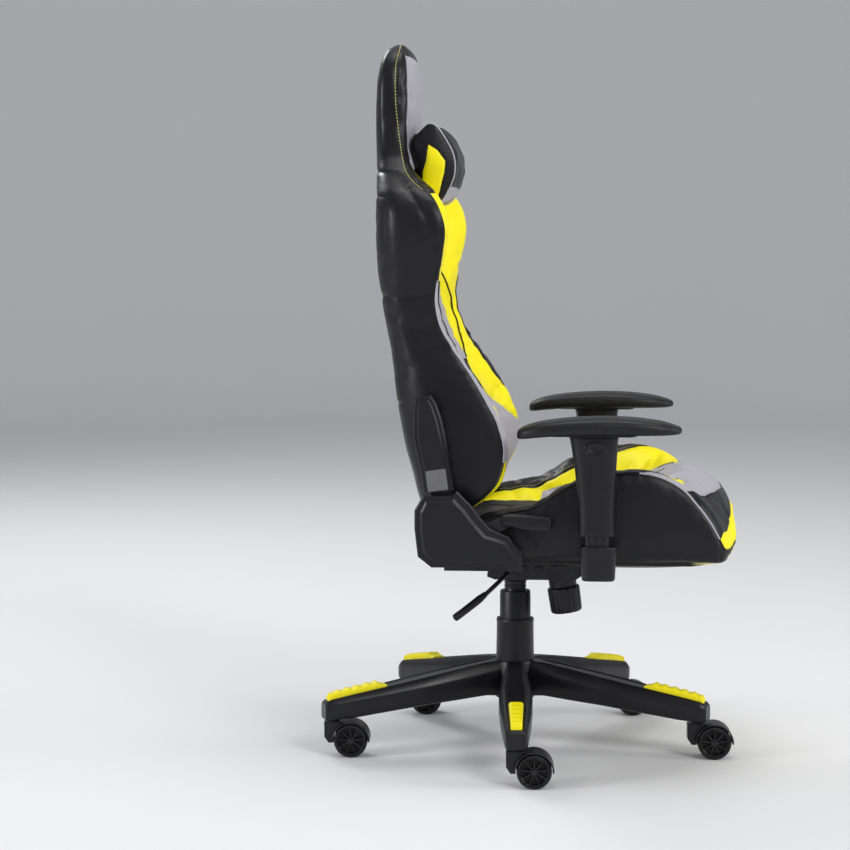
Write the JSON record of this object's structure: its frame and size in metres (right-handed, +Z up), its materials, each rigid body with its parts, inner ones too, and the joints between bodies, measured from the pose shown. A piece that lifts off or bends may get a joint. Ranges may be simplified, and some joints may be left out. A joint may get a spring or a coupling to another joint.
{
  "type": "gaming chair",
  "caption": "Racing style gaming chair: star base on castors, gas lift, tilt mechanism, bucket seat, reclining back, head pillow and adjustable armrests.",
  "frame": {"origin": "centre of the bottom of the bounding box, on the floor", "axes": "+Z up, +X the way the chair faces, +Y the sitter's left"},
  "size_m": [0.7388, 0.7138, 1.272],
  "materials": {
    "nylon": "satin black nylon",
    "yellow_trim": "satin yellow",
    "castor_tread": "black polyurethane",
    "chrome": "polished",
    "dark_steel": "black powder coat",
    "cover_plastic": "fine grained black",
    "grey_plastic": "satin grey",
    "pad_rubber": "soft black polyurethane",
    "black_leather": "black synthetic leather over foam",
    "yellow_leather": "yellow synthetic leather over foam",
    "light_leather": "light grey synthetic leather over foam"
  },
  "bodies": {
    "base": {"star_base": "nylon", "foot_pad_1": "yellow_trim", "foot_pad_2": "yellow_trim", "foot_pad_3": "yellow_trim", "foot_pad_4": "yellow_trim", "foot_pad_5": "yellow_trim", "gas_spring_tube": "dark_steel", "column_cover_lower": "cover_plastic"},
    "castor_1": {"castor_hood_1": "nylon", "castor_axle_1": "chrome"},
    "castor_1_wheel_right": {"castor_wheel_right_1": "castor_tread"},
    "castor_1_wheel_left": {"castor_wheel_left_1": "castor_tread"},
    "castor_2": {"castor_hood_2": "nylon", "castor_axle_2": "chrome"},
    "castor_2_wheel_right": {"castor_wheel_right_2": "castor_tread"},
    "castor_2_wheel_left": {"castor_wheel_left_2": "castor_tread"},
    "castor_3": {"castor_hood_3": "nylon", "castor_axle_3": "chrome"},
    "castor_3_wheel_right": {"castor_wheel_right_3": "castor_tread"},
    "castor_3_wheel_left": {"castor_wheel_left_3": "castor_tread"},
    "castor_4": {"castor_hood_4": "nylon", "castor_axle_4": "chrome"},
    "castor_4_wheel_right": {"castor_wheel_right_4": "castor_tread"},
    "castor_4_wheel_left": {"castor_wheel_left_4": "castor_tread"},
    "castor_5": {"castor_hood_5": "nylon", "castor_axle_5": "chrome"},
    "castor_5_wheel_right": {"castor_wheel_right_5": "castor_tread"},
    "castor_5_wheel_left": {"castor_wheel_left_5": "castor_tread"},
    "column_sleeve": {"column_cover_middle": "cover_plastic"},
    "gas_rod": {"gas_piston_rod": "chrome"},
    "mechanism": {"gas_cylinder": "chrome", "column_cover_upper": "cover_plastic", "mechanism_housing": "dark_steel", "tilt_axle": "chrome"},
    "gas_pin": {"gas_release_pin": "chrome"},
    "tension_knob": {"tension_knob": "cover_plastic"},
    "height_lever": {"lever_rod": "dark_steel", "lever_grip": "cover_plastic"},
    "seat": {"seat_plate": "dark_steel", "seat_pan": "dark_steel", "seat_cushion": "black_leather", "hinge_plate_right": "dark_steel", "hinge_plate_left": "dark_steel", "hinge_cover_lower_right": "cover_plastic", "hinge_cover_lower_left": "cover_plastic", "armrest_bracket_right": "cover_plastic", "armrest_bracket_left": "cover_plastic"},
    "recline_lever": {"recline_lever": "cover_plastic", "recliner_shaft": "chrome"},
    "back": {"back_frame": "dark_steel", "back_cushion": "black_leather", "hinge_cover_upper_right": "cover_plastic", "hinge_cover_upper_left": "cover_plastic"},
    "head_pillow": {"head_pillow": "black_leather"},
    "armrest_sleeve_right": {"armrest_sleeve_right": "cover_plastic"},
    "armrest_button_right": {"armrest_button_right": "cover_plastic"},
    "armrest_pad_right": {"armrest_pad_right": "pad_rubber"},
    "armrest_sleeve_left": {"armrest_sleeve_left": "cover_plastic"},
    "armrest_button_left": {"armrest_button_left": "cover_plastic"},
    "armrest_pad_left": {"armrest_pad_left": "pad_rubber"}
  },
  "joints": [
    {"name": "chair_swivel", "type": "hinge", "parent": "base", "child": "gas_rod", "pos_m": [-0.0256, 0.0094, 0.1], "axis": [0, 0, 1], "continuous": true},
    {"name": "lift", "type": "slide", "parent": "gas_rod", "child": "mechanism", "axis": [0, 0, 1], "range_m": [-0.035, 0.065]},
    {"name": "column_sleeve_slide", "type": "slide", "parent": "gas_rod", "child": "column_sleeve", "axis": [0, 0, 1], "range_m": [-0.0175, 0.0325]},
    {"name": "tilt", "type": "hinge", "parent": "mechanism", "child": "seat", "pos_m": [0.0194, 0.0094, 0.334], "axis": [0, -1, 0], "range_deg": [0, 12], "stiffness_Nm_per_rad": 120, "springref_deg": -20.05},
    {"name": "recline", "type": "hinge", "parent": "seat", "child": "back", "pos_m": [-0.0936, 0.0094, 0.413], "axis": [0, -1, 0], "range_deg": [0, 45]},
    {"name": "recline_lever_lift", "type": "hinge", "parent": "seat", "child": "recline_lever", "pos_m": [-0.0936, -0.2706, 0.413], "axis": [0, -1, 0], "range_deg": [0, 25], "stiffness_Nm_per_rad": 3, "springref_deg": -17.19},
    {"name": "head_pillow_slide", "type": "slide", "parent": "back", "child": "head_pillow", "axis": [0, 0, 1], "range_m": [0, 0.06]},
    {"name": "armrest_height_right", "type": "slide", "parent": "seat", "child": "armrest_sleeve_right", "axis": [0, 0, 1], "range_m": [-0.015, 0.055]},
    {"name": "armrest_pad_turn_right", "type": "hinge", "parent": "armrest_sleeve_right", "child": "armrest_pad_right", "pos_m": [0.1201, -0.2906, 0.597], "axis": [0, 0, 1], "range_deg": [-30, 30]},
    {"name": "armrest_button_press_right", "type": "slide", "parent": "armrest_sleeve_right", "child": "armrest_button_right", "axis": [0, 1, 0], "range_m": [0, 0.003], "stiffness_N_per_m": 1500, "springref_m": -0.001},
    {"name": "armrest_height_left", "type": "slide", "parent": "seat", "child": "armrest_sleeve_left", "axis": [0, 0, 1], "range_m": [-0.015, 0.055]},
    {"name": "armrest_pad_turn_left", "type": "hinge", "parent": "armrest_sleeve_left", "child": "armrest_pad_left", "pos_m": [0.1201, 0.3094, 0.597], "axis": [0, 0, 1], "range_deg": [-30, 30]},
    {"name": "armrest_button_press_left", "type": "slide", "parent": "armrest_sleeve_left", "child": "armrest_button_left", "axis": [0, -1, 0], "range_m": [0, 0.003], "stiffness_N_per_m": 1500, "springref_m": -0.001},
    {"name": "height_lever_lift", "type": "hinge", "parent": "mechanism", "child": "height_lever", "pos_m": [-0.0376, -0.0506, 0.327], "axis": [0, 1, 0], "range_deg": [0, 12], "stiffness_Nm_per_rad": 1.5, "springref_deg": -28.65},
    {"name": "gas_pin_press", "type": "slide", "parent": "mechanism", "child": "gas_pin", "axis": [0, 0, -1], "range_m": [0, 0.003], "stiffness_N_per_m": 2000, "springref_m": -0.001},
    {"name": "tension_knob_turn", "type": "hinge", "parent": "mechanism", "child": "tension_knob", "pos_m": [0.0584, 0.0094, 0.315], "axis": [0.1444, 0, -0.9895], "continuous": true},
    {"name": "castor_1_swivel", "type": "hinge", "parent": "base", "child": "castor_1", "pos_m": [-0.00924, -0.33121, 0.06], "axis": [0, 0, 1], "continuous": true},
    {"name": "castor_2_swivel", "type": "hinge", "parent": "base", "child": "castor_2", "pos_m": [0.30339, -0.08029, 0.06], "axis": [0, 0, 1], "continuous": true},
    {"name": "castor_3_swivel", "type": "hinge", "parent": "base", "child": "castor_3", "pos_m": [0.16137, 0.29457, 0.06], "axis": [0, 0, 1], "continuous": true},
    {"name": "castor_4_swivel", "type": "hinge", "parent": "base", "child": "castor_4", "pos_m": [-0.23904, 0.27534, 0.06], "axis": [0, 0, 1], "continuous": true},
    {"name": "castor_5_swivel", "type": "hinge", "parent": "base", "child": "castor_5", "pos_m": [-0.34448, -0.11141, 0.06], "axis": [0, 0, 1], "continuous": true},
    {"name": "castor_1_wheel_right_spin", "type": "hinge", "parent": "castor_1", "child": "castor_1_wheel_right", "pos_m": [0.02073, -0.32977, 0.03], "axis": [-0.048, 0.9988, 0], "continuous": true},
    {"name": "castor_1_wheel_left_spin", "type": "hinge", "parent": "castor_1", "child": "castor_1_wheel_left", "pos_m": [0.02073, -0.32977, 0.03], "axis": [-0.048, 0.9988, 0], "continuous": true},
    {"name": "castor_2_wheel_right_spin", "type": "hinge", "parent": "castor_2", "child": "castor_2_wheel_right", "pos_m": [0.33336, -0.07885, 0.03], "axis": [-0.048, 0.9988, 0], "continuous": true},
    {"name": "castor_2_wheel_left_spin", "type": "hinge", "parent": "castor_2", "child": "castor_2_wheel_left", "pos_m": [0.33336, -0.07885, 0.03], "axis": [-0.048, 0.9988, 0], "continuous": true},
    {"name": "castor_3_wheel_right_spin", "type": "hinge", "parent": "castor_3", "child": "castor_3_wheel_right", "pos_m": [0.19133, 0.29601, 0.03], "axis": [-0.048, 0.9988, 0], "continuous": true},
    {"name": "castor_3_wheel_left_spin", "type": "hinge", "parent": "castor_3", "child": "castor_3_wheel_left", "pos_m": [0.19133, 0.29601, 0.03], "axis": [-0.048, 0.9988, 0], "continuous": true},
    {"name": "castor_4_wheel_right_spin", "type": "hinge", "parent": "castor_4", "child": "castor_4_wheel_right", "pos_m": [-0.20907, 0.27678, 0.03], "axis": [-0.048, 0.9988, 0], "continuous": true},
    {"name": "castor_4_wheel_left_spin", "type": "hinge", "parent": "castor_4", "child": "castor_4_wheel_left", "pos_m": [-0.20907, 0.27678, 0.03], "axis": [-0.048, 0.9988, 0], "continuous": true},
    {"name": "castor_5_wheel_right_spin", "type": "hinge", "parent": "castor_5", "child": "castor_5_wheel_right", "pos_m": [-0.31452, -0.10997, 0.03], "axis": [-0.048, 0.9988, 0], "continuous": true},
    {"name": "castor_5_wheel_left_spin", "type": "hinge", "parent": "castor_5", "child": "castor_5_wheel_left", "pos_m": [-0.31452, -0.10997, 0.03], "axis": [-0.048, 0.9988, 0], "continuous": true}
  ],
  "couplings": [
    {"joint": "column_sleeve_slide", "follows": "lift", "ratio": 0.5}
  ]
}
